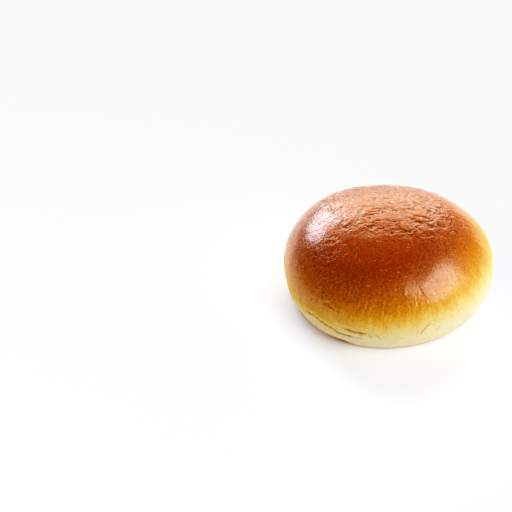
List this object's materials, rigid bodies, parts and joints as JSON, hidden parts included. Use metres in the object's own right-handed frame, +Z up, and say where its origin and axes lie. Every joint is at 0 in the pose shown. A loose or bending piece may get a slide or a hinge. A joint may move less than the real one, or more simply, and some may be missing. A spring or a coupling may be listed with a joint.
{
  "type": "brioche bun",
  "caption": "Whole round brioche bun with a glazed golden-brown crown, a pale soft side with tucked folds, and a flat base.",
  "frame": {"origin": "middle of the flat base that the bun rests on", "axes": "+Z up through the crown, +X along the longest side of the slightly oval plan, -Y towards the side with the tucked folds at its left"},
  "size_m": [0.1096, 0.106, 0.0482],
  "materials": {
    "crust": "satin egg-wash glaze, browned on the crown and pale cream at the side"
  },
  "bodies": {
    "root": {"brioche_bun": "crust"}
  },
  "joints": []
}
